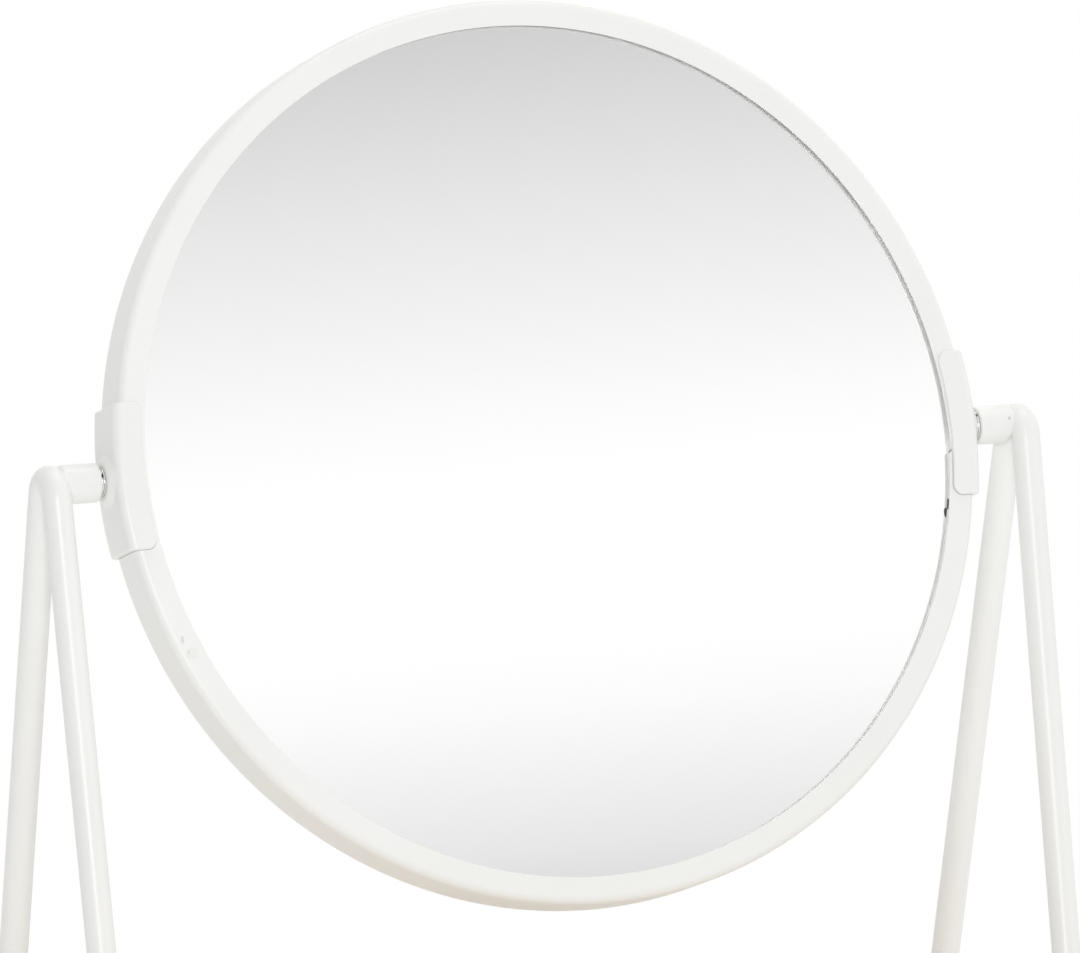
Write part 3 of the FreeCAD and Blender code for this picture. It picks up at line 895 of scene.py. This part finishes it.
def washer_outline(sheet):
    """The eased section of a washer cut from sheet."""
    return rounded(
        outline(
            (washer_bore_radius, 0), (washer_radius, 0),
            (washer_radius, sheet), (washer_bore_radius, sheet)),
        [washer_edge_round] * 4, arc_steps)


def spring_washer_loops(cut_place):
    """Sections round a spring washer from one side of its cut to the other, rising as a screw does."""
    start = pad_face + flat_washer_sheet + 2 * washer_slack
    loops = []
    for step in range(turn_steps + 1):
        share = step / turn_steps
        angle = cut_place + spring_cut / 2 + (math.tau - spring_cut) * share
        around = back * math.cos(angle) + up * math.sin(angle)
        along = start + spring_rise * share
        loops.append([
            right * (along + point.y) + around * point.x for point in washer_outline(spring_washer_sheet)])
    return loops


bright_zinc = plated_steel(
    "bright_zinc", tones=((0.62, 0.62, 0.6), (0.82, 0.82, 0.8)),
    gloss_range=(0.12, 0.24), line_depth=0.000003)
for side, axis in side_axes.items():
    washers = turned(side + "_washers", washer_outline(flat_washer_sheet), axis, joined=True)
    washers.data.transform(Matrix.Translation(axis * (pad_face + washer_slack)))
    loops = spring_washer_loops(spring_cut_places[side])
    if side == "left":
        loops = [mirrored(points) for points in loops]
    join([washers, loft(side + "_spring", loops)])
    washers.data.transform(Matrix.Translation(pivot))
    finish(washers, "stand", bright_zinc, side + "_friction_washer")

# Studio floor: a wide pale sweep that takes the soft shadow near the stand and is plain white further
# away. To diffuse rays it is a painted glow instead of a bounce: warm straight below the mirror, white from
# aside, and dimmer as painted shade at the feet.
floor_reach = 40.0
floor_drop = 0.00005
shadow_reach = 0.38
white_reach = 0.8
warm_centre = (-0.015, -0.08, 0)
warm_stretch = (1.55, 1, 1)
warm_glow_tone = (0.45, 0.245, 0.0)
pale_tone = (0.97, 0.97, 0.96)
foot_shade_tone = (0.72, 0.71, 0.69)
bounce_reach = 0.4


def square_sheet(name, half_size, height):
    """A level square sheet about the origin."""
    corners = ((-1, -1), (1, -1), (1, 1), (-1, 1))
    mesh = bpy.data.meshes.new(name)
    mesh.from_pydata([(x * half_size, y * half_size, height) for x, y in corners], [], [(0, 1, 2, 3)])
    sheet = bpy.data.objects.new(name, mesh)
    bpy.context.scene.collection.objects.link(sheet)
    return sheet


studio_floor = square_sheet("studio_floor", floor_reach, -floor_drop)
floor_skin, floor_tree, floor_shader = surface("floor_sweep", Roughness=0.85)
floor_place = place(floor_tree, "TexCoord", {}).outputs["Object"]
floor_grain = place(floor_tree, "TexNoise", {"Vector": floor_place, "Scale": 6.0, "Detail": 3.0})
floor_tone = ramp(
    floor_tree, floor_grain.outputs["Fac"], (0.3, (0.91, 0.905, 0.895)), (0.7, (0.93, 0.925, 0.915)))
floor_tree.links.new(floor_tone, floor_shader.inputs["Base Color"])
floor_radius = reckon_vector(floor_tree, "LENGTH", floor_place)
fade = rescaled(floor_tree, floor_radius, shadow_reach, white_reach, interpolation_type="SMOOTHSTEP")
white_floor = place(floor_tree, "Emission", {"Color": (*white, 1), "Strength": 1.0})
lit_floor = blend(floor_tree, fade, floor_shader.outputs["BSDF"], white_floor.outputs["Emission"])
warm_offset = reckon_vector(floor_tree, "SUBTRACT", floor_place, warm_centre)
warm_form = reckon_vector(floor_tree, "MULTIPLY", warm_offset, warm_stretch)
warm_radius = reckon_vector(floor_tree, "LENGTH", warm_form)
from_warm_centre = rescaled(floor_tree, warm_radius, 0.0, white_reach)
# The glow that diffuse rays see is painted light: warm below the mirror, white beyond it, and a grey
# painted shade where the floor lies close.
bounce_tone = ramp(floor_tree, from_warm_centre, (0.31, warm_glow_tone), (0.37, pale_tone), (0.5, white))
floor_rays = place(floor_tree, "LightPath", {}).outputs
clear_of_floor = rescaled(floor_tree, floor_rays["Ray Length"], 0.0, bounce_reach)
plain_bounce = ramp(floor_tree, clear_of_floor, (0.075, foot_shade_tone), (0.45, white))
warm_share = ramp(
    floor_tree, clear_of_floor, (0.3, black), (0.45, white), (0.68, white), (0.85, black))
bounce = place(floor_tree, "MixRGB", {"Fac": warm_share, "Color1": plain_bounce, "Color2": bounce_tone})
bounce_light = place(floor_tree, "Emission", {"Color": bounce.outputs["Color"], "Strength": 1.0})
bright_floor = blend(floor_tree, floor_rays["Is Diffuse Ray"], lit_floor, bounce_light.outputs["Emission"])
from_below = place(floor_tree, "NewGeometry", {}).outputs["Backfacing"]
open_below = place(floor_tree, "BsdfTransparent", {})
floor_look = blend(floor_tree, from_below, bright_floor, open_below.outputs["BSDF"])
feed(floor_tree, floor_tree.nodes["Material Output"], {"Surface": floor_look})
studio_floor.data.materials.append(floor_skin)

# Studio light: a wide soft dome, brighter overhead, behind and at the right, with a key soft box beside
# the camera, a weak fill at the right and a wide box overhead. The dome is plain white where the
# camera, the glass or the metal looks at it, and the boxes show neither to the camera nor in the glass.
dome_mean = 0.565
dome_slope = Vector((0.38, 0.34, 0.27))
dome_tint = (1, 0.995, 0.98, 1)
world = bpy.data.worlds.new("studio_dome")
bpy.context.scene.world = world
world.use_nodes = True
dome_tree = world.node_tree
dome_place = place(dome_tree, "TexCoord", {}).outputs["Generated"]
dome_lean = reckon_vector(dome_tree, "DOT_PRODUCT", dome_place, dome_slope)
dome_level = reckon(dome_tree, "ADD", dome_lean, dome_mean)
dome_light = dome_tree.nodes["Background"]
feed(dome_tree, dome_light, {"Color": dome_tint, "Strength": dome_level})
dome_white = place(dome_tree, "Background", {"Color": (*white, 1), "Strength": 1.0})
dome_rays = place(dome_tree, "LightPath", {}).outputs
shiny_rays = reckon(dome_tree, "MAXIMUM", dome_rays["Is Glossy Ray"], dome_rays["Is Transmission Ray"])
seen_rays = reckon(dome_tree, "MAXIMUM", dome_rays["Is Camera Ray"], shiny_rays)
dome_look = blend(dome_tree, seen_rays, dome_light.outputs["Background"], dome_white.outputs["Background"])
feed(dome_tree, dome_tree.nodes["World Output"], {"Surface": dome_look})


def soft_box(name, direction, distance, size, power):
    """A square lamp that faces the mirror from a direction."""
    lamp = bpy.data.lights.new(name, "AREA")
    lamp.shape = "SQUARE"
    lamp.size = size
    lamp.energy = power
    box = bpy.data.objects.new(name, lamp)
    box.location = pivot + direction.normalized() * distance
    box.rotation_euler = direction.to_track_quat("Z", "Y").to_euler()
    box.visible_camera = False
    box.visible_transmission = False
    bpy.context.scene.collection.objects.link(box)


soft_box("key_soft_box", Vector((-0.376, -0.886, 0.215)), distance=2.7, size=0.62, power=24.6)
soft_box("fill_soft_box", Vector((0.75, -0.62, 0.1)), distance=2.6, size=1.0, power=2.6)
soft_box("top_soft_box", Vector((0.1, 0.1, 1)), distance=2.2, size=1.2, power=11.0)

# Camera: a long lens 2.9 m away, a little above and to the left of the mirror. It is aimed just below
# the middle of the glass, and its picture ends above the feet.
image_width = 1080
focal_pixels = 11589.5
sensor_width = 36.0
camera_azimuth = math.radians(-22.458)
camera_elevation = math.radians(9.146)
camera_distance = 2.9085
aim_across = -0.000525
aim_up = -0.005703
camera_back = Vector((
    math.sin(camera_azimuth) * math.cos(camera_elevation),
    -math.cos(camera_azimuth) * math.cos(camera_elevation), math.sin(camera_elevation)))
camera_right = (-camera_back).cross(up).normalized()
camera_up = camera_back.cross(camera_right)
lens = bpy.data.cameras.new("product_camera")
lens.sensor_width = sensor_width
lens.lens = sensor_width * focal_pixels / image_width
camera = bpy.data.objects.new("product_camera", lens)
camera.location = pivot + camera_back * camera_distance + camera_right * aim_across + camera_up * aim_up
camera.rotation_euler = (-camera_back).to_track_quat("-Z", "Y").to_euler()
bpy.context.scene.collection.objects.link(camera)
bpy.context.scene.camera = camera

# Reflector card: a graded white card that the front glass shows to the camera, white across its
# middle and grey towards its ends. Only the glass and the metal see it, and it throws no light.
card_distance = 2.2
card_half_size = 0.45
card_tilt = math.radians(4.8)
card_strength = 1.085
mirror_normal = (head_place.to_3x3() @ -back).normalized()


def bounced(direction):
    """A direction after the front glass has turned it round."""
    return direction - 2 * direction.dot(mirror_normal) * mirror_normal


card_away = bounced(-camera_back)
card_across = Matrix.Rotation(card_tilt, 3, card_away) @ bounced(camera_right)
card_up = Matrix.Rotation(card_tilt, 3, card_away) @ bounced(camera_up)
card_centre = pivot + card_away * card_distance
card_axes = Matrix((card_across, card_up, card_across.cross(card_up))).transposed()
reflector_card = square_sheet("reflector_card", card_half_size, 0)
reflector_card.matrix_world = Matrix.Translation(card_centre) @ card_axes.to_4x4()
card_skin = bpy.data.materials.new("graded_card")
card_skin.use_nodes = True
card_tree = card_skin.node_tree
card_place = place(card_tree, "TexCoord", {}).outputs["Object"]
card_height = place(card_tree, "SeparateXYZ", {"Vector": card_place}).outputs["Y"]
card_share = rescaled(card_tree, card_height, -card_half_size, card_half_size)
card_greys = (
    (0.25, 0.56), (0.31, 0.77), (0.38, 0.935), (0.43, 0.995),
    (0.478, 0.99), (0.527, 0.935), (0.625, 0.774), (0.75, 0.54))
card_grade = ramp(card_tree, card_share, *[(height, (grey, grey, grey)) for height, grey in card_greys])
card_glow = place(card_tree, "Emission", {"Color": card_grade, "Strength": card_strength})
feed(card_tree, card_tree.nodes["Material Output"], {"Surface": card_glow.outputs["Emission"]})
reflector_card.data.materials.append(card_skin)
reflector_card.visible_camera = False
reflector_card.visible_diffuse = False
reflector_card.visible_shadow = False

bpy.context.scene.view_settings.view_transform = "Standard"
